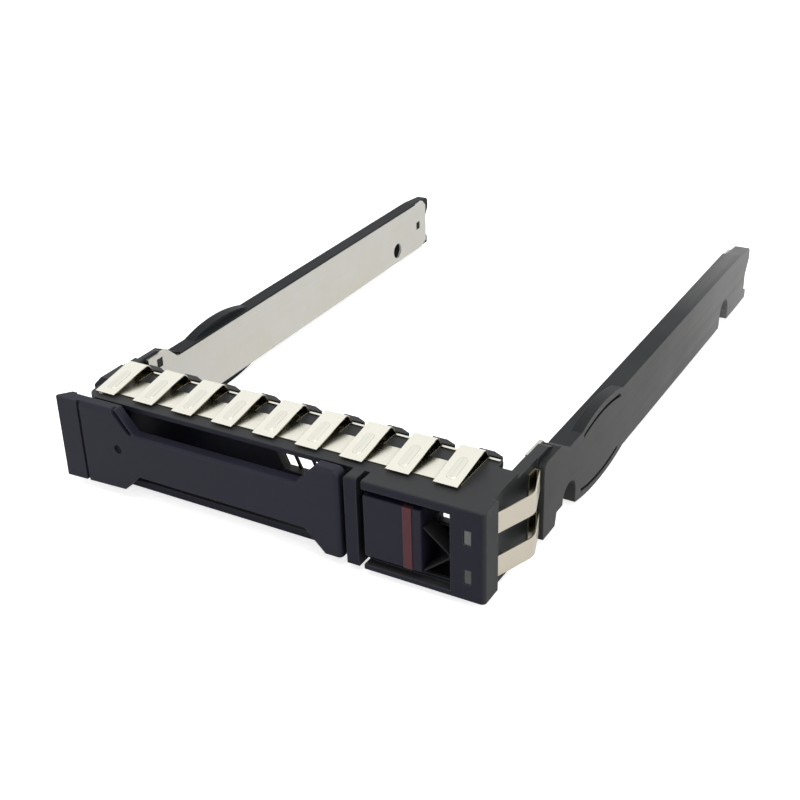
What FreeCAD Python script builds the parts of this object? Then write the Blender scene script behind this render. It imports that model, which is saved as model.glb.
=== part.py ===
import FreeCAD, Part
import math
import os

# Hot-plug carrier for a 2.5 inch server drive.
#
# Stations are worked out in a design frame: X runs along the front, Y runs back
# from the front face and Z runs up from the underside of the drive. Every solid
# is moved once, at export, so that the origin is the centre of the footprint.

# ---------------------------------------------------------------- driving sizes
# the drive that the carrier holds
DRIVE_WIDTH = 69.85
DRIVE_SIDE_GAP = 0.18
SCREW_SPACING = 76.6
SCREW_HEIGHT = 3.0
SCREW_FRONT = 28.1
SCREW_HOLE_D = 3.3
SCREW_SINK_D = 3.8
SCREW_NOTCH_W = 5.0
SCREW_NOTCH_TOP = 4.9

# steel liners
LINER_T = 0.6
LINER_FRONT_INSET = 0.8
LINER_REAR_INSET = 2.2
LINER_FOOT = 0.3
LINER_TAB_RISE = 0.4
LINER_TAB_LENGTH = 5.0
LINER_TAB_SLOPE = 2.7
LINER_REAR_CUT = 1.3
LINER_FOOT_CUT_Y = 2.3
LINER_FOOT_CUT_Z = 0.9
SNAP_HOLE_W = 1.5
SNAP_HOLE_H = 1.7
SNAP_GAP = 0.1
FRONT_SNAP_INSET = 2.9
FRONT_SNAP_DROP = 1.7
REAR_SNAP_INSET = 3.6
REAR_SNAP_Z = 5.8

# moulded rails
RAIL_T = 2.85
LEFT_RAIL_T = 2.1
RAIL_TOP = 11.25
RAIL_FOOT = 0.0
RAIL_NOSE = 9.6
RAIL_TAIL = 15.3
RAIL_LINER_GAP = 0.05
RAIL_LIP = 0.3
CHEEK_T = 1.1
CHEEK_RISE = 1.75
CHEEK_LENGTH = 5.9
CHEEK_SLOPE = 3.4
CHEEK_ROUND = 1.2
FOOT_STEP_LENGTH = 4.3
FOOT_STEP_Z = 2.15
FOOT_STEP_SLOPE = 0.6
REAR_LEAD = 7.0
REAR_LEAD_DROP = 0.6
REAR_NOSE_LOW = 8.3
REAR_NOTCH_TOP = 5.3
REAR_NOTCH_LOW = 2.1
REAR_NOTCH_DEPTH = 1.9
REAR_HEEL_SETBACK = 0.6
REAR_CUT_SLOPE = 0.4

# leaf springs moulded into the rails
ARCH_OFFSET_TOP = 12.9
ARCH_OFFSET_FOOT = 12.4
ARCH_SPAN_TOP = 17.0
ARCH_SPAN_FOOT = 20.5
ARCH_RISE_TOP = 1.25
ARCH_RISE_FOOT = 1.25
ARCH_WIDTH = 1.9
ARCH_SLOT = 0.6
ARCH_SLOT_SPAN = 15.4
ARCH_SLOT_RISE = 0.9
ARCH_SLOT_INSET_TOP = 0.7
ARCH_SLOT_INSET_FOOT = 0.55

# bezel frame
BEZEL_INSET = 0.5
BEZEL_RISE = 3.55
BEZEL_FOOT = 0.0
FRAME_SETBACK = 2.8
LEDGE_T = 0.8
FLOOR_T = 1.2
BRIDGE_LENGTH = 5.5
BACK_WALL_T = 1.4
LEDGE_LIP = 0.9
BLOCK_W = 19.3
BLOCK_ROUND = 0.7
BLOCK_EDGE = 0.3
BLOCK_DEPTH = 4.2
BLOCK_WALL = 1.5
BUTTON_STOP_FRONT = 1.6
BUTTON_STOP_T = 0.7
BUTTON_STOP_H = 0.6
WINDOW_MARGIN = 5.3
WINDOW_ROOF_T = 1.3
WINDOW_FLOOR_T = 0.8
PILLAR_GAP = 0.95
PILLAR_W = 2.1
PILLAR_SETBACK = 0.2
PILLAR_DEPTH = 3.2
PILLAR_ROUND = 0.5
SIDE_WALL_INSET = 0.8
SIDE_WALL_T = 1.7
SHOULDER_DROP = 1.0
ARM_LAP = 5.5
ARM_T = 1.6
ARM_CLEAR = 0.06
EAR_POCKET_REAR = 8.7
EAR_POCKET_R = 2.0
LEFT_WALL_INSET = 1.2
NIB_PROUD = 1.0
NIB_DEPTH = 1.0
LEFT_WALL_BEVEL = 0.7
LUG_W = 4.1
LUG_OFFSET = 1.65
LUG_REACH = 1.6
LUG_T = 1.25
LUG_ROOT = 1.0
LUG_RISE = 0.3
LUG_SLOPE_W = 1.7
LUG_SLOPE = 0.85
CORNER_W = 3.9
CORNER_REAR = 12.2
VENT_OFFSET = 22.5
VENT_W = 9.5
VENT_LOW = 4.75
VENT_HIGH = 9.6
VENT_LEAN = 0.45
LOUVRE_INSET = 1.3
LOUVRE_W = 6.6
LOUVRE_H = 1.65
LOUVRE_PITCH = 2.9
LOUVRE_COUNT = 3
LOUVRE_LOW = 3.3
RIDGE_H = 0.5
RIDGE_DEPTH = 0.5
RIDGE_LOW = (1.7, 2.7)
RIDGE_INSET = 0.3
RIDGE_W = 3.3

# vent screen
SCREEN_T = 0.4
SCREEN_MARGIN = 1.2
SCREEN_BAR = 0.45
SCREEN_FIRST = 2.1
SCREEN_PITCH = 3.3

# top contact strip
FINGER_COUNT = 9
FINGER_PITCH = 7.66
FINGER_INSET = 6.9
FINGER_W = 3.8
STRIP_T = 0.2
STRIP_FRONT = 5.1
STRIP_LAND = 5.1
STRIP_REAR_LAND = 0.5
STRIP_TAIL = 1.9
FINGER_TIP_Y = 3.9
FINGER_TIP_LIFT = 0.1
FINGER_CREST_Y = 12.3
FINGER_CREST_RISE = 1.95
FINGER_HOOK = 0.7
FINGER_DROP = 20.0
FINGER_CREST_R = 1.1
STRIP_SEAT = 0.02

# side contact clip
CLIP_FINGER_H = 3.4
CLIP_FINGER_LOW = (1.7, 8.9)
CLIP_BASE_L = 2.2
CLIP_REAR_GAP = 0.8
CLIP_PROUD = 2.9
CLIP_CREST_Y = 12.0
CLIP_CREST_R = 3.5
CLIP_TURN_R = 0.45
CLIP_FOOT = 1.1
CLIP_DROP = 1.2
CLIP_TIP_GAP = 0.25
CLIP_TIP_Y = 4.6

# eject lever
LEVER_T = 2.1
LEVER_LIFT = 0.2
EAR_FOOT = 0.4
EAR_W = 4.45
EAR_T = 2.4
EAR_BACK_W = 2.4
EAR_CHAMFER_W = 1.5
EAR_CHAMFER_L = 1.9
EAR_GROOVE_W = 0.6
GROOVE_DEPTH = 0.45
DIAGONAL_W = 0.6
DIAGONAL_DEPTH = 1.3
DIAGONAL_STEP_W = 0.85
DIAGONAL_STEP = 0.4
PANEL_W = 10.5
PANEL_SLOPE_W = 3.1
PANEL_FOOT = 0.9
PANEL_FOOT_W = 7.85
PANEL_FOOT_SLOPE = 3.2
BAND_DROP = 3.6
BAND_FOOT = 4.0
BAND_END_W = 7.8
LEVER_END_GAP = 0.85
LEVER_END_W = 4.0
LEVER_END_FOOT = 0.5
LEVER_END_SLOPE = 1.2
LEVER_ROUND = 0.7
LEVER_CORNER_R = 1.0
CATCH_CLEAR = 0.4
CATCH_T = 1.6
CATCH_DEPTH = 4.2
CATCH_LOW = 4.6
CATCH_HIGH = 10.2
CATCH_NOSE = 1.2
CATCH_NOSE_T = 1.0
DIMPLE_INSET = 7.35
DIMPLE_Z = 8.1
DIMPLE_D = 1.6
DIMPLE_DEPTH = 0.5

# lever pivot
PIVOT_INSET = 5.7
PIVOT_Y = 5.0
PIN_D = 1.6
PIN_GAP = 0.04
PIN_INSET = 0.1
KNUCKLE_R = 1.7
KNUCKLE_LENGTH = 3.2
KNUCKLE_GAP = 0.25
LEVER_SWING = 45.0

# lever spring
SPRING_WIRE = 0.45
SPRING_TURNS = 3
SPRING_GAP = 0.2
SPRING_LEG = 8.0

# release button
BUTTON_SIDE_GAP = 0.1
BUTTON_W = 9.25
BUTTON_FOOT_GAP = 1.5
BUTTON_HEAD_GAP = 1.1
BUTTON_FACE = 0.2
BUTTON_SKIN = 1.5
BUTTON_DEPTH = 5.4
BUTTON_ROUND = 0.25
BUTTON_FLANGE = 1.1
BUTTON_LIP_GAP = 0.25
BUTTON_TRAVEL = 3.6
ACCENT_LEFT = 6.4
ACCENT_W = 1.4
ACCENT_DEPTH = 0.7
ACCENT_PROUD = 0.15
ACCENT_GAP = 0.02
TONGUE_GAP = 0.3
TONGUE_T = 1.1
TONGUE_LOW = 5.2
TONGUE_HIGH = 9.6
GUIDE_GAP = 0.25
GUIDE_T = 1.0

# button return spring
LEAF_T = 0.25
LEAF_ARM_RISE = 3.5
LEAF_CENTRE_Z = 6.1
LEAF_GAP = 0.2
LEAF_FRONT = 0.5
LEAF_WIDTH = 3.0

# light pipes
PIPE_T = 1.0
PIPE_H = 1.5
PIPE_GAP = 0.08
LENS_INSET = 3.15
LENS_H = 2.3
LENS_SETBACK = 0.15
LENS_Z = (3.85, 10.3)
PIPE_RUN_Z = (6.7, 9.0)
PIPE_REAR_INSET = 1.1
PIPE_JOG_LENGTH = 6.0
PIPE_JOG_GAP = 1.5
PIPE_BEND_LENGTH = 7.0

# ---------------------------------------------------------------- derived sizes
BAY_HALF = DRIVE_WIDTH / 2 + DRIVE_SIDE_GAP
LINER_OUT = BAY_HALF + LINER_T
RAIL_IN = LINER_OUT + RAIL_LINER_GAP
RAIL_OUT = RAIL_IN + RAIL_T
LEFT_RAIL_OUT = RAIL_IN + LEFT_RAIL_T
BEZEL_HALF_W = RAIL_OUT - BEZEL_INSET

# stations from front to back
SCREW_REAR = SCREW_FRONT + SCREW_SPACING
RAIL_FRONT = SCREW_FRONT - RAIL_NOSE
RAIL_BACK = SCREW_REAR + RAIL_TAIL
LINER_FRONT = RAIL_FRONT + LINER_FRONT_INSET
LINER_REAR = RAIL_BACK - LINER_REAR_INSET
FRONT_SNAP_Y = LINER_FRONT + FRONT_SNAP_INSET
REAR_SNAP_Y = LINER_REAR - REAR_SNAP_INSET
CHEEK_END = RAIL_FRONT + CHEEK_LENGTH
FOOT_STEP_Y = RAIL_FRONT + FOOT_STEP_LENGTH
ARCH_TOP_Y = SCREW_FRONT + ARCH_OFFSET_TOP
ARCH_FOOT_Y = SCREW_FRONT + ARCH_OFFSET_FOOT
ARM_REAR = RAIL_FRONT + ARM_LAP
BACK_WALL_Y = RAIL_FRONT - BRIDGE_LENGTH - BACK_WALL_T
FRAME_REAR = BACK_WALL_Y + BACK_WALL_T
LEDGE_REAR = FRAME_REAR + LEDGE_LIP
CLIP_REAR = RAIL_FRONT - CLIP_REAR_GAP
PIPE_REAR = RAIL_BACK - PIPE_REAR_INSET
PIPE_JOG_REAR = RAIL_FRONT - PIPE_JOG_GAP
PIPE_JOG_FRONT = PIPE_JOG_REAR - PIPE_JOG_LENGTH
PIPE_BEND_REAR = PIPE_JOG_REAR + PIPE_BEND_LENGTH

# heights
BEZEL_TOP = RAIL_TOP + BEZEL_RISE
SHOULDER_TOP = BEZEL_TOP - SHOULDER_DROP
CHEEK_TOP = RAIL_TOP + CHEEK_RISE
LINER_TOP = RAIL_TOP - RAIL_LIP - RAIL_LINER_GAP
LINER_TAB_TOP = CHEEK_TOP + LINER_TAB_RISE
FRONT_SNAP_Z = LINER_TAB_TOP - FRONT_SNAP_DROP
LEDGE_LOW = BEZEL_TOP - LEDGE_T
FLOOR_TOP = BEZEL_FOOT + FLOOR_T
WINDOW_TOP = BEZEL_TOP - WINDOW_ROOF_T
WINDOW_FOOT = BEZEL_FOOT + WINDOW_FLOOR_T
BUTTON_LOW = WINDOW_FOOT + BUTTON_FOOT_GAP
BUTTON_HIGH = WINDOW_TOP - BUTTON_HEAD_GAP
CLIP_TOP = SHOULDER_TOP - CLIP_DROP
LEVER_TOP = BEZEL_TOP + LEVER_LIFT
BAND_TOP = BEZEL_TOP - BAND_DROP
LOWEST = RAIL_FOOT - ARCH_RISE_FOOT

# stations from side to side
ARM_IN = RAIL_IN
LEFT_WALL_OUT = BEZEL_HALF_W - LEFT_WALL_INSET
NIB_OUT = LEFT_WALL_OUT + NIB_PROUD
SIDE_WALL_OUT = BEZEL_HALF_W - SIDE_WALL_INSET
SIDE_WALL_IN = SIDE_WALL_OUT - SIDE_WALL_T
CORNER_LEFT = BEZEL_HALF_W - CORNER_W
BLOCK_LEFT = BEZEL_HALF_W - BLOCK_W
WINDOW_RIGHT = BEZEL_HALF_W - WINDOW_MARGIN
PILLAR_RIGHT = BLOCK_LEFT - PILLAR_GAP
PILLAR_LEFT = PILLAR_RIGHT - PILLAR_W
VENT_LEFT = BLOCK_LEFT - VENT_OFFSET
LOUVRE_RIGHT = WINDOW_RIGHT - LOUVRE_INSET
LOUVRE_LEFT = LOUVRE_RIGHT - LOUVRE_W
FINGER_FIRST = FINGER_INSET - BEZEL_HALF_W
CLIP_CREST_X = SIDE_WALL_OUT + CLIP_PROUD
CLIP_TIP_X = SIDE_WALL_OUT + CLIP_TIP_GAP
LENS_LEFT = BEZEL_HALF_W - LENS_INSET
PIVOT_X = PIVOT_INSET - BEZEL_HALF_W
EAR_POCKET_X = EAR_POCKET_R - PIVOT_X
EAR_RIGHT = EAR_W - BEZEL_HALF_W
EAR_BACK_RIGHT = EAR_BACK_W - BEZEL_HALF_W
PANEL_RIGHT = EAR_RIGHT + PANEL_W
PANEL_FOOT_RIGHT = EAR_RIGHT + PANEL_FOOT_W
DIMPLE_X = EAR_RIGHT + DIMPLE_INSET
LEVER_RIGHT = PILLAR_LEFT - LEVER_END_GAP
LEVER_END_LEFT = LEVER_RIGHT - LEVER_END_W
BAND_RIGHT = LEVER_RIGHT - BAND_END_W
CATCH_LEFT = PILLAR_LEFT - CATCH_CLEAR - CATCH_NOSE - CATCH_T
BUTTON_LEFT = BLOCK_LEFT + BUTTON_SIDE_GAP
BUTTON_RIGHT = BUTTON_LEFT + BUTTON_W
FOOTPRINT_LEFT = -BEZEL_HALF_W
FOOTPRINT_RIGHT = CLIP_CREST_X - STRIP_T
SHIFT = FreeCAD.Vector(-(FOOTPRINT_LEFT + FOOTPRINT_RIGHT) / 2, -RAIL_BACK / 2, -LOWEST)


# ---------------------------------------------------------------- small helpers
def box(x0, x1, y0, y1, z0, z1):
    return Part.makeBox(x1 - x0, y1 - y0, z1 - z0, FreeCAD.Vector(x0, y0, z0))


def cylinder(x, y, z0, z1, radius):
    return Part.makeCylinder(radius, z1 - z0, FreeCAD.Vector(x, y, z0))


def face_of(points):
    closed = points + [points[0]]
    return Part.Face(Part.makePolygon(closed))


def prism_x(outline, x0, x1):
    """Extrude an outline of (y, z) pairs from x0 to x1."""
    face = face_of([FreeCAD.Vector(x0, y, z) for y, z in outline])
    return face.extrude(FreeCAD.Vector(x1 - x0, 0, 0))


def prism_y(outline, y0, y1):
    """Extrude an outline of (x, z) pairs from y0 to y1."""
    face = face_of([FreeCAD.Vector(x, y0, z) for x, z in outline])
    return face.extrude(FreeCAD.Vector(0, y1 - y0, 0))


def prism_z(outline, z0, z1):
    """Extrude an outline of (x, y) pairs from z0 to z1."""
    face = face_of([FreeCAD.Vector(x, y, z0) for x, y in outline])
    return face.extrude(FreeCAD.Vector(0, 0, z1 - z0))


def fuse_all(shapes):
    body = shapes[0]
    for shape in shapes[1:]:
        body = body.fuse(shape)
    return body.removeSplitter()


def cut_all(body, cutters):
    for cutter in cutters:
        body = body.cut(cutter)
    return body.removeSplitter()


def mirror_x(shape):
    return shape.mirror(FreeCAD.Vector(0, 0, 0), FreeCAD.Vector(1, 0, 0))


def arc_points(y0, y1, rise, base, steps):
    """Points (y, z) of a shallow circular arc from y0 to y1 that rises by rise."""
    half = (y1 - y0) / 2
    radius = (half * half + rise * rise) / (2 * abs(rise))
    sign = 1 if rise > 0 else -1
    middle = (y0 + y1) / 2
    points = []
    for i in range(steps + 1):
        y = y0 + (y1 - y0) * i / steps
        height = math.sqrt(radius * radius - (y - middle) ** 2) - (radius - abs(rise))
        points.append((y, base + sign * height))
    return points


def sheet_path(points, thickness):
    """Outline of a bent sheet: the path and its offset to the left, mitred."""
    offset = []
    count = len(points)
    for i in range(count):
        before = points[max(i - 1, 0)]
        after = points[min(i + 1, count - 1)]
        if 0 < i < count - 1:
            here = points[i]
            d0 = unit(here[0] - before[0], here[1] - before[1])
            d1 = unit(after[0] - here[0], after[1] - here[1])
            n = unit(-(d0[1] + d1[1]), d0[0] + d1[0])
            cosine = max(0.3, n[0] * -d1[1] + n[1] * d1[0])
            length = thickness / cosine
        else:
            d = unit(after[0] - before[0], after[1] - before[1])
            n = (-d[1], d[0])
            length = thickness
        offset.append((points[i][0] + n[0] * length, points[i][1] + n[1] * length))
    return points + offset[::-1]


def unit(a, b):
    size = math.hypot(a, b)
    return (a / size, b / size)


def round_corner(centre, radius, start_deg, end_deg, steps):
    points = []
    for i in range(steps + 1):
        a = math.radians(start_deg + (end_deg - start_deg) * i / steps)
        points.append((centre[0] + radius * math.cos(a), centre[1] + radius * math.sin(a)))
    return points


def edge_round(corner, along, inward, radius, length):
    """Cutter that rounds a straight edge: corner is its start, along its direction,
    inward a pair of axes that point from the edge into the body."""
    first, second = inward
    middle = corner + first * radius + second * radius
    a = corner - first - second
    b = corner + first * radius - second
    c = corner - first + second * radius
    wedge = face_of([a, b, middle, c]).extrude(along * length)
    return wedge.cut(Part.makeCylinder(radius, length, middle, along))


X_AXIS = FreeCAD.Vector(1, 0, 0)
Y_AXIS = FreeCAD.Vector(0, 1, 0)
Z_AXIS = FreeCAD.Vector(0, 0, 1)


# ---------------------------------------------------------------- steel liners
def make_liner():
    tab_end = LINER_FRONT + LINER_TAB_LENGTH
    outline = [
        (LINER_FRONT, LINER_FOOT),
        (LINER_FRONT, LINER_TAB_TOP),
        (tab_end, LINER_TAB_TOP),
        (tab_end + LINER_TAB_SLOPE, LINER_TOP),
        (LINER_REAR - LINER_REAR_CUT, LINER_TOP),
        (LINER_REAR, LINER_TOP - LINER_REAR_CUT),
        (LINER_REAR, LINER_FOOT + LINER_FOOT_CUT_Z),
        (LINER_REAR - LINER_FOOT_CUT_Y, LINER_FOOT),
    ]
    plate = prism_x(outline, BAY_HALF, LINER_OUT)
    cutters = []
    for y in (SCREW_FRONT, SCREW_REAR):
        place = FreeCAD.Vector(BAY_HALF, y, SCREW_HEIGHT)
        cutters.append(Part.makeCylinder(SCREW_HOLE_D / 2, LINER_T, place, FreeCAD.Vector(1, 0, 0)))
        sink = (SCREW_SINK_D - SCREW_HOLE_D) / 2
        start = FreeCAD.Vector(LINER_OUT - sink, y, SCREW_HEIGHT)
        cone = Part.makeCone(SCREW_HOLE_D / 2, SCREW_SINK_D / 2, sink, start, FreeCAD.Vector(1, 0, 0))
        cutters.append(cone)
    for y, z in ((FRONT_SNAP_Y, FRONT_SNAP_Z), (REAR_SNAP_Y, REAR_SNAP_Z)):
        cutters.append(snap_block(y, z, 0.0, BAY_HALF, LINER_OUT))
    return cut_all(plate, cutters)


def snap_block(y, z, inset, x0, x1):
    half_w = SNAP_HOLE_W / 2 - inset
    half_h = SNAP_HOLE_H / 2 - inset
    return box(x0, x1, y - half_w, y + half_w, z - half_h, z + half_h)


# ---------------------------------------------------------------- rails
def rail_outline():
    """Side view of a rail as (y, z) pairs, without its leaf springs."""
    nose = RAIL_BACK
    notch = RAIL_BACK - REAR_NOTCH_DEPTH
    heel = RAIL_BACK - REAR_HEEL_SETBACK
    return [
        (RAIL_FRONT, RAIL_FOOT),
        (FOOT_STEP_Y, RAIL_FOOT),
        (FOOT_STEP_Y + FOOT_STEP_SLOPE, FOOT_STEP_Z),
        (SCREW_FRONT, FOOT_STEP_Z),
        (SCREW_FRONT, RAIL_FOOT),
        (heel, RAIL_FOOT),
        (heel, REAR_NOTCH_LOW - REAR_CUT_SLOPE),
        (notch, REAR_NOTCH_LOW),
        (notch, REAR_NOTCH_TOP),
        (nose, REAR_NOSE_LOW),
        (nose, RAIL_TOP - 2 * REAR_LEAD_DROP),
        (nose - REAR_LEAD_DROP, RAIL_TOP - REAR_LEAD_DROP),
        (nose - REAR_LEAD, RAIL_TOP),
        (CHEEK_END + CHEEK_SLOPE, RAIL_TOP),
        (CHEEK_END, CHEEK_TOP),
    ] + round_corner((RAIL_FRONT + CHEEK_ROUND, CHEEK_TOP - CHEEK_ROUND), CHEEK_ROUND, 90, 180, 4)


def screw_notch(y, rail_out):
    radius = SCREW_NOTCH_W / 2
    centre = (y, SCREW_NOTCH_TOP - radius)
    below = RAIL_FOOT - 1
    outline = [(y - radius, below), (y + radius, below)] + round_corner(centre, radius, 0, 180, 10)
    return prism_x(outline, RAIL_IN - 1, rail_out + 1)


def leaf_spring(rise, base, middle, span, inset, rail_out):
    """One arched beam with the slot behind it: (added solid, removed solid)."""
    sign = 1 if rise > 0 else -1
    y0 = middle - span / 2
    y1 = middle + span / 2
    root = base - sign * ARCH_SLOT_INSET_TOP
    crown = arc_points(y0, y1, rise, base, 14)
    beam = prism_x(crown + [(y1, root), (y0, root)], rail_out - ARCH_WIDTH, rail_out)
    s0 = middle - ARCH_SLOT_SPAN / 2
    s1 = middle + ARCH_SLOT_SPAN / 2
    near = arc_points(s0, s1, sign * ARCH_SLOT_RISE, base - sign * inset, 12)
    far = [(y, z - sign * ARCH_SLOT) for y, z in near]
    slot = prism_x(near + far[::-1], rail_out - ARCH_WIDTH, rail_out + 1)
    return beam, slot


def pipe_channels():
    """Grooves in the inner face of the right rail, one for each light pipe."""
    grooves = []
    for z in PIPE_RUN_Z:
        half = PIPE_H / 2 + PIPE_GAP
        grooves.append(box(RAIL_IN - 1, RAIL_IN + PIPE_T + 2 * PIPE_GAP,
                           RAIL_FRONT - 1, RAIL_BACK + 1, z - half, z + half))
    return grooves


def make_rail(rail_out):
    core = prism_x(rail_outline(), RAIL_IN, rail_out)
    top_beam, top_slot = leaf_spring(ARCH_RISE_TOP, RAIL_TOP, ARCH_TOP_Y, ARCH_SPAN_TOP,
                                     ARCH_SLOT_INSET_TOP, rail_out)
    foot_beam, foot_slot = leaf_spring(-ARCH_RISE_FOOT, RAIL_FOOT, ARCH_FOOT_Y, ARCH_SPAN_FOOT,
                                       ARCH_SLOT_INSET_FOOT, rail_out)
    lip = box(BAY_HALF, RAIL_IN, CHEEK_END + CHEEK_SLOPE, RAIL_BACK - REAR_LEAD,
              RAIL_TOP - RAIL_LIP, RAIL_TOP)
    body = fuse_all([core, lip, top_beam, foot_beam])
    arm_room = box(RAIL_IN - 1, rail_out - CHEEK_T, RAIL_FRONT - 1, ARM_REAR + 2 * ARM_CLEAR,
                   RAIL_FOOT - 1, CHEEK_TOP + 1)
    cutters = [screw_notch(SCREW_FRONT, rail_out), screw_notch(SCREW_REAR, rail_out),
               top_slot, foot_slot, arm_room]
    body = cut_all(body, cutters)
    nib = snap_block(REAR_SNAP_Y, REAR_SNAP_Z, SNAP_GAP, BAY_HALF + SNAP_GAP, RAIL_IN)
    return body.fuse(nib).removeSplitter()


# ---------------------------------------------------------------- bezel frame
def finger_centre(index):
    return FINGER_FIRST + index * FINGER_PITCH


def lug_solids():
    """Hooks behind the ledge that keep the bent rear edge of the strip in place."""
    lugs = []
    rear = LEDGE_REAR + LUG_REACH
    for i in range(FINGER_COUNT):
        middle = finger_centre(i) + LUG_OFFSET
        left = middle - LUG_W / 2
        right = middle + LUG_W / 2
        plan = [(left, rear - LUG_T), (right, rear - LUG_T), (right, rear - LUG_SLOPE),
                (right - LUG_SLOPE_W, rear), (left, rear)]
        root = box(left, right, FRAME_REAR, rear - LUG_T, LEDGE_LOW - LUG_ROOT, LEDGE_LOW)
        hook = prism_z(plan, LEDGE_LOW - LUG_ROOT, BEZEL_TOP + LUG_RISE)
        lugs.append(root.fuse(hook))
    return lugs


def leaning_slot(left, right, y0, y1):
    """Air slot whose sides lean; left and right are taken at mid height."""
    lean = VENT_LEAN * (VENT_HIGH - VENT_LOW) / 2
    outline = [(left + lean, VENT_LOW), (right + lean, VENT_LOW),
               (right - lean, VENT_HIGH), (left - lean, VENT_HIGH)]
    return prism_y(outline, y0, y1)


def vent_slot():
    return leaning_slot(VENT_LEFT, VENT_LEFT + VENT_W, BACK_WALL_Y - 1, FRAME_REAR + 1)


def louvre_slots():
    slots = []
    for i in range(LOUVRE_COUNT):
        low = LOUVRE_LOW + i * LOUVRE_PITCH
        slots.append(box(LOUVRE_LEFT, LOUVRE_RIGHT, BACK_WALL_Y - 1, FRAME_REAR + 1,
                         low, low + LOUVRE_H))
    return slots


def ledge_outline():
    """Plan of the top ledge and of the floor, left of the button block."""
    reach = PIVOT_X + EAR_POCKET_X
    return round_corner((PIVOT_X, PIVOT_Y), reach, 180, 250, 6) + [
        (PIVOT_X, FRAME_SETBACK),
        (BLOCK_LEFT, FRAME_SETBACK),
        (BLOCK_LEFT, FRAME_REAR),
        (-LEFT_WALL_OUT, FRAME_REAR),
        (-LEFT_WALL_OUT, EAR_POCKET_REAR),
        (-EAR_POCKET_X, EAR_POCKET_REAR),
    ]


def make_frame():
    plan = ledge_outline()
    rear_lip = box(-LEFT_WALL_OUT, CORNER_LEFT, FRAME_REAR, LEDGE_REAR, LEDGE_LOW, BEZEL_TOP)
    ledge = prism_z(plan, LEDGE_LOW, BEZEL_TOP)
    floor = prism_z(plan, BEZEL_FOOT, FLOOR_TOP)
    back = box(-LEFT_WALL_OUT, SIDE_WALL_OUT, BACK_WALL_Y, FRAME_REAR, BEZEL_FOOT, BEZEL_TOP)
    left_wall = box(-LEFT_WALL_OUT, -LEFT_WALL_OUT + SIDE_WALL_T, EAR_POCKET_REAR, FRAME_REAR,
                    BEZEL_FOOT, BEZEL_TOP)
    nib = box(-NIB_OUT, -LEFT_WALL_OUT, EAR_POCKET_REAR, EAR_POCKET_REAR + NIB_DEPTH,
              BEZEL_FOOT + FLOOR_T, LEDGE_LOW)
    block_face = box(BLOCK_LEFT, BEZEL_HALF_W, 0, BLOCK_WALL, BEZEL_FOOT, BEZEL_TOP)
    block_roof = box(BLOCK_LEFT, SIDE_WALL_OUT, 0, FRAME_REAR, WINDOW_TOP, BEZEL_TOP)
    block_floor = box(BLOCK_LEFT, SIDE_WALL_OUT, 0, FRAME_REAR, BEZEL_FOOT, WINDOW_FOOT)
    block_side = box(WINDOW_RIGHT, BEZEL_HALF_W, 0, BLOCK_DEPTH, BEZEL_FOOT, BEZEL_TOP)
    right_wall = box(SIDE_WALL_IN, SIDE_WALL_OUT, 0, FRAME_REAR, BEZEL_FOOT, BEZEL_TOP)
    pillar = box(PILLAR_LEFT, PILLAR_RIGHT, PILLAR_SETBACK, PILLAR_SETBACK + PILLAR_DEPTH,
                 BEZEL_FOOT, BEZEL_TOP)
    guide = box(BLOCK_LEFT, WINDOW_RIGHT, BUTTON_DEPTH + GUIDE_GAP,
                BUTTON_DEPTH + GUIDE_GAP + GUIDE_T, WINDOW_FOOT, WINDOW_TOP)
    guide_hole = box(BLOCK_LEFT + GUIDE_T, WINDOW_RIGHT - GUIDE_T, BUTTON_DEPTH,
                     BUTTON_DEPTH + 2 * GUIDE_T, TONGUE_LOW - GUIDE_T, TONGUE_HIGH + GUIDE_T)
    stop_rear = BUTTON_STOP_FRONT + BUTTON_STOP_T
    stops = [box(BLOCK_LEFT, WINDOW_RIGHT, BUTTON_STOP_FRONT, stop_rear, z, z + BUTTON_STOP_H)
             for z in (WINDOW_FOOT, WINDOW_TOP - BUTTON_STOP_H)]
    ridge_left = LOUVRE_LEFT + RIDGE_INSET
    ridges = [box(ridge_left, ridge_left + RIDGE_W, BACK_WALL_Y - RIDGE_DEPTH, BACK_WALL_Y,
                  z, z + RIDGE_H) for z in RIDGE_LOW]
    parts = [ledge, rear_lip, floor, back, left_wall, nib, block_face, block_roof, block_floor,
             block_side, right_wall, pillar, guide.cut(guide_hole)] + ridges
    parts += [arm_solid(RAIL_OUT), mirror_x(arm_solid(LEFT_RAIL_OUT))]
    parts += lug_solids()
    window = box(BLOCK_LEFT - 1, WINDOW_RIGHT, -1, BLOCK_WALL + 1, WINDOW_FOOT, WINDOW_TOP)
    body = fuse_all([fuse_all(parts).cut(window)] + stops)
    cutters = [vent_slot()] + louvre_slots() + lens_holes()
    cutters.append(left_wall_bevel())
    cutters += block_rounds()
    cutters.append(cylinder(PIVOT_X, PIVOT_Y, BEZEL_FOOT - 1, BEZEL_TOP + 1, PIN_D / 2))
    cutters.append(box(CORNER_LEFT, BEZEL_HALF_W, CORNER_REAR, LEDGE_REAR + 1,
                       SHOULDER_TOP, BEZEL_TOP + 1))
    return cut_all(body, cutters)


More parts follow.
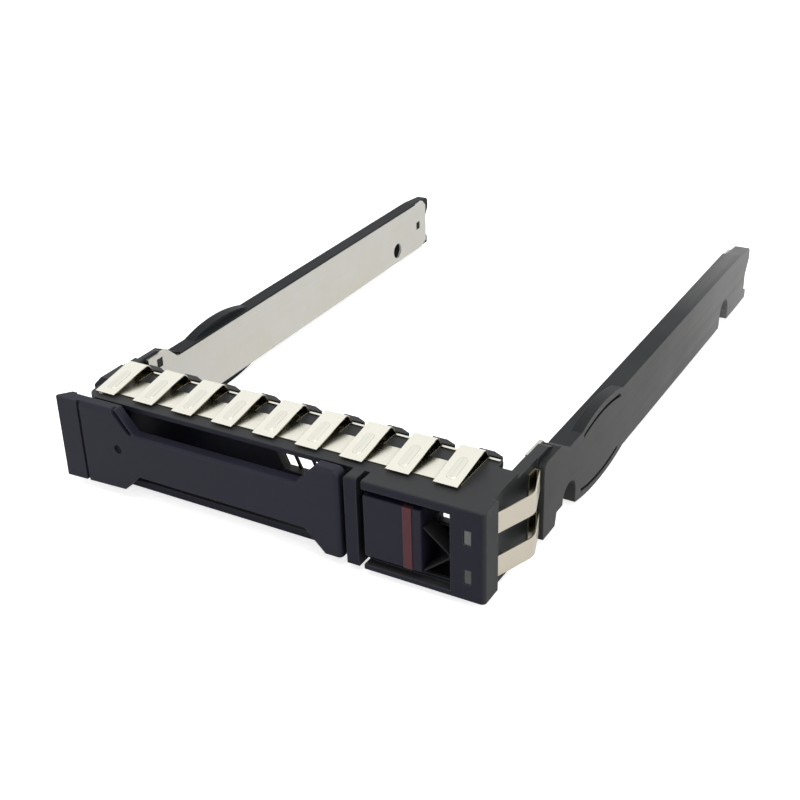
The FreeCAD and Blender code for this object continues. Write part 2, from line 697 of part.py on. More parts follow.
def block_rounds():
    """Rounded edges of the button block and of the pillar beside it."""
    height = BEZEL_TOP - BEZEL_FOOT
    right_foot = FreeCAD.Vector(BEZEL_HALF_W, 0, BEZEL_FOOT)
    left_head = FreeCAD.Vector(BLOCK_LEFT, 0, BEZEL_TOP)
    pillar_head = FreeCAD.Vector(PILLAR_LEFT, PILLAR_SETBACK, BEZEL_TOP)
    return [
        edge_round(right_foot, Z_AXIS, (-X_AXIS, Y_AXIS), BLOCK_ROUND, height),
        edge_round(left_head, X_AXIS, (Y_AXIS, -Z_AXIS), BLOCK_EDGE, BLOCK_W),
        edge_round(pillar_head, X_AXIS, (Y_AXIS, -Z_AXIS), PILLAR_ROUND, PILLAR_W),
        edge_round(pillar_head, Y_AXIS, (X_AXIS, -Z_AXIS), PILLAR_ROUND,
                   FRAME_SETBACK - PILLAR_SETBACK),
    ]


def left_wall_bevel():
    edge = -LEFT_WALL_OUT
    outline = [(edge - 1, BEZEL_TOP - LEFT_WALL_BEVEL - 1), (edge - 1, BEZEL_TOP + 1),
               (edge + LEFT_WALL_BEVEL + 1, BEZEL_TOP + 1)]
    return prism_y(outline, EAR_POCKET_REAR - 1, LEDGE_REAR + 1)


def arm_solid(rail_out):
    """Arm that reaches back into the rail and snaps into the liner's tab."""
    drop = SHOULDER_TOP - CHEEK_TOP
    outline = [(RAIL_FRONT, LINER_FOOT), (ARM_REAR, LINER_FOOT), (ARM_REAR, CHEEK_TOP),
               (ARM_REAR - 2 * drop, SHOULDER_TOP), (RAIL_FRONT, SHOULDER_TOP)]
    arm = prism_x(outline, ARM_IN, rail_out - CHEEK_T - ARM_CLEAR)
    bridge = box(SIDE_WALL_IN, SIDE_WALL_OUT, BACK_WALL_Y, RAIL_FRONT, LINER_FOOT, SHOULDER_TOP)
    nib = snap_block(FRONT_SNAP_Y, FRONT_SNAP_Z, SNAP_GAP, BAY_HALF + SNAP_GAP, ARM_IN)
    return fuse_all([arm, bridge, nib])


def lens_holes():
    return [light_path(index, PIPE_GAP, -1.0) for index in range(len(LENS_Z))]


# ---------------------------------------------------------------- vent screen
def make_screen():
    right = VENT_LEFT + VENT_W
    lean = VENT_LEAN * (VENT_HIGH - VENT_LOW) / 2
    plate = box(VENT_LEFT - lean - SCREEN_MARGIN, right + lean + SCREEN_MARGIN, FRAME_REAR,
                FRAME_REAR + SCREEN_T, VENT_LOW - SCREEN_MARGIN, VENT_HIGH + SCREEN_MARGIN)
    slots = []
    left = VENT_LEFT
    bar = VENT_LEFT + SCREEN_FIRST
    while bar < right:
        slots.append(leaning_slot(left, bar - SCREEN_BAR / 2, FRAME_REAR - 1, FRAME_REAR + 1))
        left = bar + SCREEN_BAR / 2
        bar += SCREEN_PITCH
    slots.append(leaning_slot(left, right, FRAME_REAR - 1, FRAME_REAR + 1))
    return cut_all(plate, slots)


# ---------------------------------------------------------------- light pipes
def light_path(index, grow, front):
    """A light pipe: lens end, jog past the liner, bend to its level, long run."""
    z_lens = LENS_Z[index]
    z_run = PIPE_RUN_Z[index]
    x_lens = LENS_LEFT
    x_run = RAIL_IN + PIPE_GAP
    half_lens = LENS_H / 2 + grow
    half_run = PIPE_H / 2 + grow
    stations = [
        (front, x_lens, z_lens, half_lens),
        (PIPE_JOG_FRONT, x_lens, z_lens, half_run),
        (PIPE_JOG_REAR, x_run, z_lens, half_run),
    ]
    pieces = []
    for (y0, x0, z0, h0), (y1, x1, z1, h1) in zip(stations, stations[1:]):
        pieces.append(taper(y0, x0 - grow, z0, h0, y1, x1 - grow, z1, h1, PIPE_T + 2 * grow))
    bend = z_run - z_lens
    pieces.append(taper(PIPE_JOG_REAR, x_run - grow, z_lens, half_run,
                        PIPE_BEND_REAR, x_run - grow, z_lens + bend, half_run, PIPE_T + 2 * grow))
    pieces.append(taper(PIPE_BEND_REAR, x_run - grow, z_run, half_run,
                        PIPE_REAR, x_run - grow, z_run, half_run, PIPE_T + 2 * grow))
    return fuse_all(pieces)


def taper(y0, x0, z0, h0, y1, x1, z1, h1, width):
    wires = []
    for y, x, z, h in ((y0, x0, z0, h0), (y1, x1, z1, h1)):
        corners = [FreeCAD.Vector(x, y, z - h), FreeCAD.Vector(x + width, y, z - h),
                   FreeCAD.Vector(x + width, y, z + h), FreeCAD.Vector(x, y, z + h)]
        wires.append(Part.makePolygon(corners + [corners[0]]))
    return Part.makeLoft(wires, True, True)


def make_pipe(index):
    return light_path(index, 0.0, LENS_SETBACK)


# ---------------------------------------------------------------- contact strips
def finger_profile():
    """Side view of a bowed finger as (y, z) pairs along its upper face."""
    base = BEZEL_TOP + STRIP_SEAT
    crest = BEZEL_TOP + FINGER_CREST_RISE
    rear = LEDGE_REAR + STRIP_SEAT + STRIP_T
    tip = (FINGER_TIP_Y, base + 2 * STRIP_T + FINGER_TIP_LIFT)
    slope = math.atan2(crest - tip[1], FINGER_CREST_Y - FINGER_TIP_Y)
    crown = round_corner((FINGER_CREST_Y, crest - FINGER_CREST_R), FINGER_CREST_R,
                         90 + math.degrees(slope), FINGER_DROP, 6)
    return [tip] + crown + [(rear, BEZEL_TOP + STRIP_T), (rear, BEZEL_TOP - FINGER_HOOK)]


def make_top_strip():
    base = BEZEL_TOP + STRIP_SEAT
    left = finger_centre(0) - FINGER_W / 2
    right = finger_centre(FINGER_COUNT - 1) + FINGER_W / 2
    rear = LEDGE_REAR
    pieces = [
        box(left, right, STRIP_FRONT, STRIP_FRONT + STRIP_LAND, base, base + STRIP_T),
        box(left, right + STRIP_TAIL, rear - STRIP_REAR_LAND, rear, base, base + STRIP_T),
    ]
    outline = sheet_path(finger_profile()[::-1], STRIP_T)
    for i in range(FINGER_COUNT):
        x0 = finger_centre(i) - FINGER_W / 2
        pieces.append(box(x0, x0 + FINGER_W, STRIP_FRONT, rear + STRIP_SEAT + STRIP_T / 2,
                          base, base + STRIP_T))
        pieces.append(prism_x(outline, x0, x0 + FINGER_W))
    return fuse_all(pieces)


def clip_profile():
    """Plan of the side clip as (x, y) pairs: base, turn, bowed finger, tip."""
    base_x = SIDE_WALL_OUT + STRIP_SEAT
    turn = round_corner((base_x + CLIP_TURN_R, CLIP_REAR), CLIP_TURN_R, 180, 30, 5)
    crown = round_corner((CLIP_CREST_X - STRIP_T - CLIP_CREST_R, CLIP_CREST_Y), CLIP_CREST_R,
                         25, -20, 5)
    return [(base_x, CLIP_REAR - CLIP_BASE_L)] + turn + crown + [(CLIP_TIP_X, CLIP_TIP_Y)]


def make_side_clip():
    base_x = SIDE_WALL_OUT + STRIP_SEAT
    pieces = [box(base_x, base_x + STRIP_T, CLIP_REAR - CLIP_BASE_L, CLIP_REAR,
                  CLIP_FOOT, CLIP_TOP)]
    outline = sheet_path(clip_profile(), -STRIP_T)
    for z in CLIP_FINGER_LOW:
        pieces.append(prism_z(outline, z, z + CLIP_FINGER_H))
    return fuse_all(pieces)


# ---------------------------------------------------------------- eject lever
def lever_outline():
    shoulder = LEVER_TOP - BAND_TOP
    knee = LEVER_END_FOOT + LEVER_END_SLOPE
    return [
        (-BEZEL_HALF_W, EAR_FOOT),
        (PANEL_FOOT_RIGHT, PANEL_FOOT),
        (PANEL_FOOT_RIGHT + PANEL_FOOT_SLOPE, BAND_FOOT),
        (LEVER_END_LEFT - (BAND_FOOT - knee), BAND_FOOT),
        (LEVER_END_LEFT, knee),
        (LEVER_END_LEFT + LEVER_END_SLOPE, LEVER_END_FOOT),
        (LEVER_RIGHT, LEVER_END_FOOT),
        (LEVER_RIGHT, LEVER_TOP),
        (BAND_RIGHT + shoulder, LEVER_TOP),
        (BAND_RIGHT, BAND_TOP),
        (PANEL_RIGHT, BAND_TOP),
        (PANEL_RIGHT - PANEL_SLOPE_W, LEVER_TOP),
        (-BEZEL_HALF_W, LEVER_TOP),
    ]


def rounded_plate():
    """Lever plate with a rounded end corner and its whole upper front edge rounded."""
    plate = prism_y(lever_outline(), 0, LEVER_T)
    corner = [edge for edge in plate.Edges
              if all(abs(v.X - LEVER_RIGHT) < 1e-6 and abs(v.Z - LEVER_TOP) < 1e-6
                     for v in edge.Vertexes)]
    plate = plate.makeFillet(LEVER_CORNER_R, corner)
    crest = []
    for edge in plate.Edges:
        ends = [vertex.Point for vertex in edge.Vertexes]
        at_front = all(abs(point.y) < 1e-6 for point in ends)
        upper = all(point.z > BAND_TOP - 1e-3 for point in ends)
        if at_front and upper:
            crest.append(edge)
    return plate.makeFillet(LEVER_ROUND, crest)


def make_lever():
    ear_left = -BEZEL_HALF_W
    ear_front = box(ear_left, EAR_RIGHT, 0, LEVER_T, PANEL_FOOT, LEVER_TOP)
    ear_back = box(ear_left, EAR_BACK_RIGHT, 0, EAR_T, PANEL_FOOT, LEVER_TOP)
    knuckle_low = FLOOR_TOP + KNUCKLE_GAP
    knuckle_high = LEDGE_LOW - KNUCKLE_GAP
    parts = [rounded_plate(), ear_front, ear_back]
    for z0, z1 in ((knuckle_low, knuckle_low + KNUCKLE_LENGTH),
                   (knuckle_high - KNUCKLE_LENGTH, knuckle_high)):
        parts.append(cylinder(PIVOT_X, PIVOT_Y, z0, z1, KNUCKLE_R))
        parts.append(box(PIVOT_X - KNUCKLE_R, PIVOT_X + KNUCKLE_R, 0, PIVOT_Y, z0, z1))
    catch_right = CATCH_LEFT + CATCH_T
    catch_rear = LEVER_T + CATCH_DEPTH
    parts.append(box(CATCH_LEFT, catch_right, LEVER_T, catch_rear, CATCH_LOW, CATCH_HIGH))
    parts.append(box(CATCH_LEFT, catch_right + CATCH_NOSE, catch_rear - CATCH_NOSE_T, catch_rear,
                     CATCH_LOW, CATCH_HIGH))
    body = fuse_all(parts)
    cutters = []
    cutters.append(box(EAR_RIGHT - EAR_GROOVE_W / 2, EAR_RIGHT + EAR_GROOVE_W / 2, -1, GROOVE_DEPTH,
                       EAR_FOOT - 1, LEVER_TOP + 1))
    cutters.append(prism_z([(ear_left - 1, EAR_T - EAR_CHAMFER_L), (ear_left, EAR_T - EAR_CHAMFER_L),
                            (ear_left + EAR_CHAMFER_W, EAR_T), (ear_left + EAR_CHAMFER_W, EAR_T + 1),
                            (ear_left - 1, EAR_T + 1)], EAR_FOOT - 1, LEVER_TOP + 1))
    cutters.append(diagonal_strip(DIAGONAL_STEP_W, 0.0, DIAGONAL_STEP))
    cutters.append(diagonal_strip(DIAGONAL_STEP_W, DIAGONAL_STEP_W - DIAGONAL_W, DIAGONAL_DEPTH))
    cutters.append(Part.makeCylinder(DIMPLE_D / 2, DIMPLE_DEPTH, FreeCAD.Vector(DIMPLE_X, 0, DIMPLE_Z),
                                     FreeCAD.Vector(0, 1, 0)))
    cutters.append(cylinder(PIVOT_X, PIVOT_Y, 0, BEZEL_TOP, PIN_D / 2 + PIN_GAP))
    return cut_all(body, cutters)


def diagonal_strip(left_inset, right_inset, depth):
    """Band along the panel's slanted edge, measured in from that edge, for a cutter."""
    slope = PANEL_SLOPE_W / (LEVER_TOP - BAND_TOP)
    top = LEVER_TOP + 1
    edge_top = PANEL_RIGHT - PANEL_SLOPE_W - slope
    outline = [(PANEL_RIGHT - left_inset, BAND_TOP), (edge_top - left_inset, top),
               (edge_top - right_inset, top), (PANEL_RIGHT - right_inset, BAND_TOP)]
    return prism_y(outline, -1, depth)


def make_pin():
    return cylinder(PIVOT_X, PIVOT_Y, BEZEL_FOOT + PIN_INSET, BEZEL_TOP - PIN_INSET, PIN_D / 2)


def make_lever_spring():
    """Torsion spring: coil on the pin, one leg on the lever, one on the wall."""
    radius = PIN_D / 2 + SPRING_GAP + SPRING_WIRE / 2
    low = FLOOR_TOP + KNUCKLE_GAP + KNUCKLE_LENGTH + SPRING_WIRE
    high = LEDGE_LOW - KNUCKLE_GAP - KNUCKLE_LENGTH - SPRING_WIRE
    helix = Part.makeHelix((high - low) / SPRING_TURNS, high - low, radius)
    profile = Part.Wire(Part.makeCircle(SPRING_WIRE / 2, FreeCAD.Vector(radius, 0, 0),
                                        FreeCAD.Vector(0, 1, 0)))
    coil = Part.Wire(helix.Edges).makePipeShell([profile], True, True)
    coil.translate(FreeCAD.Vector(PIVOT_X, PIVOT_Y, low))
    x = PIVOT_X + radius
    lever_y = LEVER_T + SPRING_WIRE / 2
    wall_y = BACK_WALL_Y
    front_leg = rod(x, PIVOT_Y, low, x, lever_y, low)
    elbow = Part.makeSphere(SPRING_WIRE / 2, FreeCAD.Vector(x, lever_y, low))
    side_leg = rod(x, lever_y, low, x + SPRING_LEG, lever_y, low)
    wall_leg = rod(x, PIVOT_Y, high, x, wall_y, high)
    return fuse_all([coil, front_leg, elbow, side_leg, wall_leg])


def rod(x0, y0, z0, x1, y1, z1):
    start = FreeCAD.Vector(x0, y0, z0)
    run = FreeCAD.Vector(x1, y1, z1) - start
    return Part.makeCylinder(SPRING_WIRE / 2, run.Length, start, run)


# ---------------------------------------------------------------- release button
def make_button():
    left = BUTTON_LEFT
    right = BUTTON_RIGHT
    face = box(left, right, BUTTON_FACE, BUTTON_FACE + BUTTON_SKIN, BUTTON_LOW, BUTTON_HIGH)
    upper = box(left, right, BUTTON_FACE, BUTTON_DEPTH, BUTTON_HIGH - BUTTON_FLANGE, BUTTON_HIGH)
    lower = box(left, right, BUTTON_FACE, BUTTON_DEPTH, BUTTON_LOW, BUTTON_LOW + BUTTON_FLANGE)
    lip_front = BUTTON_STOP_FRONT + BUTTON_STOP_T + BUTTON_LIP_GAP
    upper_lip = box(left, right, lip_front, BUTTON_DEPTH, BUTTON_HIGH - BUTTON_FLANGE,
                    WINDOW_TOP - BUTTON_LIP_GAP)
    lower_lip = box(left, right, lip_front, BUTTON_DEPTH, WINDOW_FOOT + BUTTON_LIP_GAP,
                    BUTTON_LOW + BUTTON_FLANGE)
    web = box(right - BUTTON_SKIN, right, BUTTON_FACE, BUTTON_DEPTH, BUTTON_LOW, BUTTON_HIGH)
    tongue_y = PILLAR_SETBACK + PILLAR_DEPTH + TONGUE_GAP
    tongue_left = CATCH_LEFT + CATCH_T + CATCH_NOSE + TONGUE_GAP
    tongue = box(tongue_left, right, tongue_y, tongue_y + TONGUE_T, TONGUE_LOW, TONGUE_HIGH)
    body = fuse_all([face, upper, lower, upper_lip, lower_lip, web, tongue])
    seat = box(left + ACCENT_LEFT - ACCENT_GAP, left + ACCENT_LEFT + ACCENT_W + ACCENT_GAP,
               BUTTON_FACE - 1, BUTTON_FACE + ACCENT_DEPTH, BUTTON_LOW - 1, BUTTON_HIGH + 1)
    return cut_all(body, [seat] + button_rounds())


def button_rounds():
    head = FreeCAD.Vector(BUTTON_LEFT, BUTTON_FACE, BUTTON_HIGH)
    side = FreeCAD.Vector(BUTTON_RIGHT, BUTTON_FACE, BUTTON_LOW)
    return [edge_round(head, X_AXIS, (Y_AXIS, -Z_AXIS), BUTTON_ROUND, BUTTON_W),
            edge_round(side, Z_AXIS, (-X_AXIS, Y_AXIS), BUTTON_ROUND, BUTTON_HIGH - BUTTON_LOW)]


def make_accent():
    left = BUTTON_LEFT + ACCENT_LEFT
    return box(left, left + ACCENT_W, BUTTON_FACE - ACCENT_PROUD, BUTTON_FACE + ACCENT_DEPTH,
               BUTTON_LOW, BUTTON_HIGH)


def make_button_spring():
    apex = WINDOW_RIGHT - LEAF_GAP
    tip = BUTTON_RIGHT + LEAF_GAP
    path = [(tip, LEAF_CENTRE_Z - LEAF_ARM_RISE), (apex - LEAF_T, LEAF_CENTRE_Z - LEAF_T),
            (apex - LEAF_T, LEAF_CENTRE_Z + LEAF_T), (tip, LEAF_CENTRE_Z + LEAF_ARM_RISE)]
    outline = sheet_path(path, -LEAF_T)
    return prism_y(outline, LEAF_FRONT, LEAF_FRONT + LEAF_WIDTH)


# ---------------------------------------------------------------- export
def main():
    os.makedirs("parts", exist_ok=True)
    liner = make_liner()
    nodes = {
        "bezel_frame": make_frame(),
        "vent_screen": make_screen(),
        "top_contact_strip": make_top_strip(),
        "side_contact_clip": make_side_clip(),
        "right_rail": cut_all(make_rail(RAIL_OUT), pipe_channels()),
        "left_rail": mirror_x(make_rail(LEFT_RAIL_OUT)),
        "right_liner": liner,
        "left_liner": mirror_x(liner),
        "upper_light_pipe": make_pipe(1),
        "lower_light_pipe": make_pipe(0),
        "eject_lever": make_lever(),
        "lever_pin": make_pin(),
        "lever_spring": make_lever_spring(),
        "release_button": make_button(),
        "button_accent": make_accent(),
        "button_spring": make_button_spring(),
    }
    for name, shape in nodes.items():
        placed = shape.copy()
        placed.translate(SHIFT)
        placed.exportStep(os.path.join("parts", name + ".step"))
        box_now = placed.BoundBox
        print(name, len(placed.Solids), placed.isValid(), round(placed.Volume, 2),
              [round(v, 2) for v in (box_now.XMin, box_now.XMax, box_now.YMin, box_now.YMax,
                                     box_now.ZMin, box_now.ZMax)])


main()
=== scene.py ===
import math

import bmesh
import bpy
from mathutils import Matrix, Vector


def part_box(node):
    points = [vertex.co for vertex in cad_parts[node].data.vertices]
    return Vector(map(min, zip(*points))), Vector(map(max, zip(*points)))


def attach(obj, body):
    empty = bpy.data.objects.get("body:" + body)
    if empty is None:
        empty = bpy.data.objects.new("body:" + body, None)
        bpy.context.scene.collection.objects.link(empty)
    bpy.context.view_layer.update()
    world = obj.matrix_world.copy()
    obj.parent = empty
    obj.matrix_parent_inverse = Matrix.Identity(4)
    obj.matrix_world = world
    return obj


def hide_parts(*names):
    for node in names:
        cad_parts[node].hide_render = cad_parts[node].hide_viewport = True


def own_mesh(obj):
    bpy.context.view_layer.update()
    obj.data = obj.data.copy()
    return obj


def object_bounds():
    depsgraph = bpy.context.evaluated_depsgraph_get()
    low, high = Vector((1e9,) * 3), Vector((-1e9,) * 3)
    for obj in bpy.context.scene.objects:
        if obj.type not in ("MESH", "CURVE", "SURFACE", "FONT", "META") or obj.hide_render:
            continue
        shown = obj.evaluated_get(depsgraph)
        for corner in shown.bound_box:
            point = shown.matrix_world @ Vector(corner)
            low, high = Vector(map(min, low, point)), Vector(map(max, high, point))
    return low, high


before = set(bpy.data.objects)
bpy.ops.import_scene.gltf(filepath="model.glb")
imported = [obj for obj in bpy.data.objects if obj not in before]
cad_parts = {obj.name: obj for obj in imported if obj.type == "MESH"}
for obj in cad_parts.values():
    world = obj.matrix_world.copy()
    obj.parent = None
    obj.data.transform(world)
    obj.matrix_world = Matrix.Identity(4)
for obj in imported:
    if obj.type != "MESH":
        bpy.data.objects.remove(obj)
CAD_BOX = [[float(v) for v in corner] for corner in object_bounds()]

bl_info = {
    "name": "Drive caddy dresser",
    "version": (1, 0, 0),
    "blender": (4, 5, 0),
    "location": "View3D > Sidebar > Caddy",
    "description": "Finishes the parts of a hot swap drive caddy and builds its studio",
    "category": "Object",
}

MM = 0.001
SMOOTH_ANGLE = math.radians(35)
WELD_DISTANCE = 0.000002

# Pattern repeats per metre, along X, Y and Z where there are three.
EVEN = (1.0, 1.0, 1.0)
CLOUD_SCALE = 55.0
BLOTCH_SCALE = 70.0
STAIN_SCALE = 120.0
PIPE_SCALE = 160.0
PATCH_SCALE = 420.0
CONTACT_LINES = (5000, 120, 5000)
PIN_LINES = (900, 900, 60)
# Streaks of the right rail's painted sheen.
SHEEN_LINES = (900.0, 14.0, 1400.0)
LINER_LINES_ACROSS = 4000

# Ramps over a face's direction on one axis, which runs from 0 at minus to 1 at plus. They pick the
# faces that get painted shade.
TOWARDS_MINUS = ((0.0, 1.0), (0.25, 0.0))
TOWARDS_PLUS = ((0.80, 0.0), (0.98, 1.0))

# Where the right rail's painted sheen starts and is full along its Y, in metres.
SHEEN_SPAN = (-0.045, 0.060)
REAR_SHEEN_SPAN = (0.020, 0.060)

# Shape of a finger bead: shares of its width, rim and crown.
END_ROUND = 0.49
INNER_RIM = 0.8
INNER_CROWN = 0.3

# Each lamp's name, place, width and watts. All of them aim at one point.
LAMPS = (
    ("key lamp", (0.18, -0.15, 0.75), 0.50, 3.0),
    ("side lamp", (0.85, -0.25, 0.35), 0.45, 2.1),
    ("front lamp", (-0.35, -0.80, 0.25), 0.45, 1.0),
    ("back lamp", (0.30, 0.95, 0.16), 0.35, 1.6),
)
LAMP_AIM = (0.0, 0.0, 0.008)


# ------------------------------------------------------------------ settings
def colour(name, description, value):
    return bpy.props.FloatVectorProperty(name=name, description=description, default=value,
                                         size=3, min=0.0, max=1.0, subtype="COLOR")


def length(name, description, value):
    return bpy.props.FloatProperty(name=name, description=description, default=value,
                                   min=0.0, subtype="DISTANCE", unit="LENGTH")


def factor(name, description, value):
    return bpy.props.FloatProperty(name=name, description=description, default=value,
                                   min=0.0, max=1.0, subtype="FACTOR")


def angle(name, description, degrees):
    return bpy.props.FloatProperty(name=name, description=description,
                                   default=math.radians(degrees),
                                   subtype="ANGLE", unit="ROTATION")


class CaddyPlastics(bpy.types.PropertyGroup):
    frame_colour: colour("Bezel frame", "Moulded black of the bezel frame", (0.030, 0.031, 0.033))
    rail_colour: colour("Rails", "Moulded black of the side rails", (0.034, 0.034, 0.0335))
    lever_colour: colour("Lever", "Bluish black of the eject lever", (0.015, 0.0152, 0.027))
    button_colour: colour("Button", "Bluish black of the release button", (0.013, 0.0125, 0.026))
    accent_colour: colour("Button stripe", "Dark red stripe of the button", (0.095, 0.030, 0.035))
    pipe_colour: colour("Light pipe", "Smoked grey of the light pipes", (0.085, 0.09, 0.09))
    # Painted shade: the lower light pipe is the same smoked grey, darkened to this share.
    lower_pipe_shade: factor("Lower pipe", "Tone of the lower light pipe beside the upper one", 0.30)
    texture_size: length("Texture grain", "Grain of the moulded surface", 0.22 * MM)
    edge_round: length("Edge round", "Rounding of the moulded edges", 0.22 * MM)
    # Painted highlight: every moulded edge is painted paler by this share.
    edge_highlight: factor("Edge wear", "How much paler the handled edges are", 0.25)
    # Painted sheen: the right rail's outer side is painted paler towards the rear.
    sheen_colour: colour("Rail scuffing", "Paler black of the rail's rubbed outer side",
                         (0.125, 0.125, 0.122))
    # Painted sheen: the right rail's rear end is painted grey.
    rear_sheen_colour: colour("Rail end", "Grey of the right rail's rear end", (0.20, 0.20, 0.197))
    # Painted shade: a darker bluish black for the right rail's upward faces and the whole left
    # rail.
    top_shade_colour: colour("Rail tops", "Bluish black of the right rail's top and the left rail",
                            (0.011, 0.013, 0.015))
    # Painted shade: the bezel frame's right-facing sides are painted darker.
    side_shade: colour("Side tint", "Black of the bezel frame's right side", (0.012, 0.014, 0.015))
    # Painted shade: the bezel frame's front faces are painted a darker bluish black.
    front_shade: colour("Front tint", "Bluish black of the bezel frame's front",
                       (0.008, 0.0085, 0.018))


class CaddyMetals(bpy.types.PropertyGroup):
    contact_colour: colour("Contact steel", "Bright steel of the fingers", (0.93, 0.915, 0.81))
    clip_colour: colour("Side clip steel", "Spring steel of the side clip", (0.62, 0.57, 0.475))
    liner_colour: colour("Liner steel", "Brushed steel of the rail liners", (0.62, 0.61, 0.57))
    spring_colour: colour("Spring wire", "Dark spring wire", (0.010, 0.010, 0.012))
    screen_colour: colour("Vent screen", "Black screen behind the vents", (0.010, 0.010, 0.012))
    # Painted shade: olive brown that darkens the steel in crevices, under and between the fingers.
    painted_shade_colour: colour("Sheltered steel", "Olive brown of the steel between the fingers",
                        (0.36, 0.33, 0.23))
    stain_colour: colour("Liner stain", "Faint warm staining of the liners", (0.56, 0.54, 0.43))
    brush_length: length("Brush line length", "Length of the brushed lines", 30.0 * MM)


class CaddyBeads(bpy.types.PropertyGroup):
    count: bpy.props.IntProperty(name="Fingers", description="Fingers that carry a bead",
                                 default=9, min=1)
    width: length("Bead width", "Width of the pressed bead", 1.5 * MM)
    run: length("Bead length", "Length of the pressed bead", 5.0 * MM)
    height: length("Bead height", "Upright edge of the bead above the finger", 0.04 * MM)
    crown: length("Bead crown", "Rise of the bead inside its edge", 0.05 * MM)
    rim: length("Bead rim", "Width of the bead's sloping rim", 0.22 * MM)
    pitch: length("Finger pitch", "Distance between neighbouring fingers", 7.66 * MM)
    finger_width: length("Finger width", "Width of one finger", 3.8 * MM)
    slope: angle("Finger slope", "Rise of the finger towards its crest", 9.79)
    back: length("Bead place", "From the strip's front edge back to the bead's middle", 3.75 * MM)
    tip_rise: length("Tip rise", "Finger's upper face at its tip, above the strip's foot",
                     1.22 * MM)


class CaddyStage(bpy.types.PropertyGroup):
    lens: bpy.props.FloatProperty(name="Lens", description="Focal length", default=59.3, min=1.0,
                                  subtype="DISTANCE_CAMERA")
    camera_at: bpy.props.FloatVectorProperty(
        name="Camera place", description="Camera position", size=3,
        default=(0.102575, -0.193064, 0.111738), subtype="TRANSLATION", unit="LENGTH")
    azimuth: angle("Azimuth", "Viewing angle round the part", 31.867)
    elevation: angle("Elevation", "Viewing angle above the floor", 27.737)
    roll: angle("Roll", "Tilt of the camera about its axis", -2.474)
    shift: bpy.props.FloatProperty(name="Shift", description="Sideways shift of the lens",
                                   default=0.0386, min=-0.2, max=0.2, subtype="FACTOR")
    floor_colour: colour("Floor", "Pale studio floor", (0.86, 0.86, 0.86))
    floor_size: length("Floor size", "Width of the studio floor", 6.0)
    floor_lift: factor("Floor lift", "Glow of the floor as the camera sees it", 0.72)
    mirrored_lift: factor("Mirrored lift", "Glow of the floor in reflections", 0.12)
    ambient: factor("Surround light", "Level at which the surround lights the part", 0.50)


# ------------------------------------------------------------------ node helpers
def blank_tree(owner):
    """The emptied node tree of a material or a world."""
    owner.use_nodes = True
    owner.node_tree.nodes.clear()
    return owner.node_tree


def new_material(name):
    material = bpy.data.materials.new(name)
    tree = blank_tree(material)
    out = tree.nodes.new("ShaderNodeOutputMaterial")
    shader = tree.nodes.new("ShaderNodeBsdfPrincipled")
    tree.links.new(shader.outputs["BSDF"], out.inputs["Surface"])
    return material, tree, shader


def maths(tree, operation, *values):
    """One step of arithmetic on sockets and plain numbers."""
    node = tree.nodes.new("ShaderNodeMath")
    node.operation = operation
    for value, socket in zip(values, node.inputs):
        if hasattr(value, "is_linked"):
            tree.links.new(value, socket)
        else:
            socket.default_value = value
    return node.outputs["Value"]


def object_mapping(tree, scale):
    """Object coordinates stretched by scale on each axis."""
    coords = tree.nodes.new("ShaderNodeTexCoord")
    mapping = tree.nodes.new("ShaderNodeMapping")
    mapping.inputs["Scale"].default_value = scale
    tree.links.new(coords.outputs["Object"], mapping.inputs["Vector"])
    return mapping.outputs["Vector"]


def noise(tree, stretch, scale, detail=3.0, rough=0.6):
    node = tree.nodes.new("ShaderNodeTexNoise")
    node.inputs["Scale"].default_value = scale
    node.inputs["Detail"].default_value = detail
    node.inputs["Roughness"].default_value = rough
    tree.links.new(object_mapping(tree, stretch), node.inputs["Vector"])
    return node.outputs["Fac"]


def ramp(tree, value, stops):
    """Maps a value through (position, grey) stops."""
    node = tree.nodes.new("ShaderNodeValToRGB")
    for element, (position, grey) in zip(node.color_ramp.elements, stops):
        element.position = position
        element.color = (grey, grey, grey, 1.0)
    tree.links.new(value, node.inputs["Fac"])
    return node.outputs["Color"]


def mix_colour(tree, fac, low, high):
    """low where fac is 0 and high where it is 1, each a socket or a colour."""
    node = tree.nodes.new("ShaderNodeMix")
    node.data_type = "RGBA"
    tree.links.new(fac, node.inputs["Factor"])
    for socket, value in ((node.inputs["A"], low), (node.inputs["B"], high)):
        if hasattr(value, "is_linked"):
            tree.links.new(value, socket)
        else:
            socket.default_value = (*value, 1.0)
    return node.outputs["Result"]


def lighter(tone, amount):
    return tuple(min(1.0, c + amount) for c in tone)


def darker(tone, share):
    return tuple(c * share for c in tone)


def mottled(tree, fac, tone, shade, lift):
    """Two close shades of a tone: shade times as bright, and brighter by lift."""
    return mix_colour(tree, fac, darker(tone, shade), lighter(tone, lift))


def bump(tree, height, strength, distance, normal=None):
    node = tree.nodes.new("ShaderNodeBump")
    node.inputs["Strength"].default_value = strength
    node.inputs["Distance"].default_value = distance
    tree.links.new(height, node.inputs["Height"])
    if normal is not None:
        tree.links.new(normal, node.inputs["Normal"])
    return node.outputs["Normal"]


def rounded_normal(tree, radius):
    node = tree.nodes.new("ShaderNodeBevel")
    node.samples = 6
    node.inputs["Radius"].default_value = radius
    return node.outputs["Normal"]


def crevice_shade(tree, distance, dark, light):
    """Painted shade mask: dark in crevices that the given distance closes off, light in the open.
    """
    node = tree.nodes.new("ShaderNodeAmbientOcclusion")
    node.samples = 16
    node.inputs["Distance"].default_value = distance
    return ramp(tree, node.outputs["AO"], (dark, light))


def facing(tree, axis, stops):
    """Follows one component of the surface's own direction: the mask for shade painted by the way
    a face points.
    """
    geometry = tree.nodes.new("ShaderNodeNewGeometry")
    parts = tree.nodes.new("ShaderNodeSeparateXYZ")
    tree.links.new(geometry.outputs["True Normal"], parts.inputs["Vector"])
    return ramp(tree, maths(tree, "MULTIPLY_ADD", parts.outputs[axis], 0.5, 0.5), stops)


